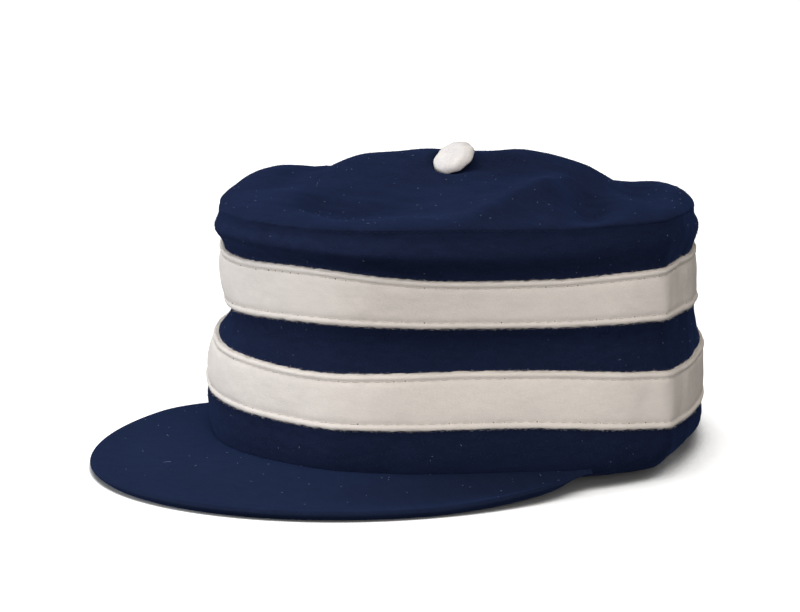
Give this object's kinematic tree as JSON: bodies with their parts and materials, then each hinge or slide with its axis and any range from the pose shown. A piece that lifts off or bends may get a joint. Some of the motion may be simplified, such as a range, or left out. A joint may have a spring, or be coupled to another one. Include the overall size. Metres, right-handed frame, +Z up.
{
  "type": "pillbox cap",
  "caption": "Soft wool pillbox cap with sewn stripes round its crown, a covered button on top and a short visor.",
  "frame": {"origin": "on the resting surface, under the middle of the cap's length and width", "axes": "-Y to the front, the way the visor points; +X to the wearer's left; +Z up, towards the button"},
  "size_m": [0.1849, 0.2534, 0.1016],
  "materials": {
    "navy_wool": "soft matte wool flannel",
    "cream_wool": "soft matte wool flannel",
    "visor_cloth": "smooth matte wool over a stiff board",
    "button_cloth": "matte wool stretched over a button"
  },
  "bodies": {
    "root": {"crown_wall": "navy_wool", "crown_top": "navy_wool", "stripe_upper": "cream_wool", "stripe_lower": "cream_wool", "visor": "visor_cloth", "top_button": "button_cloth"}
  },
  "joints": []
}
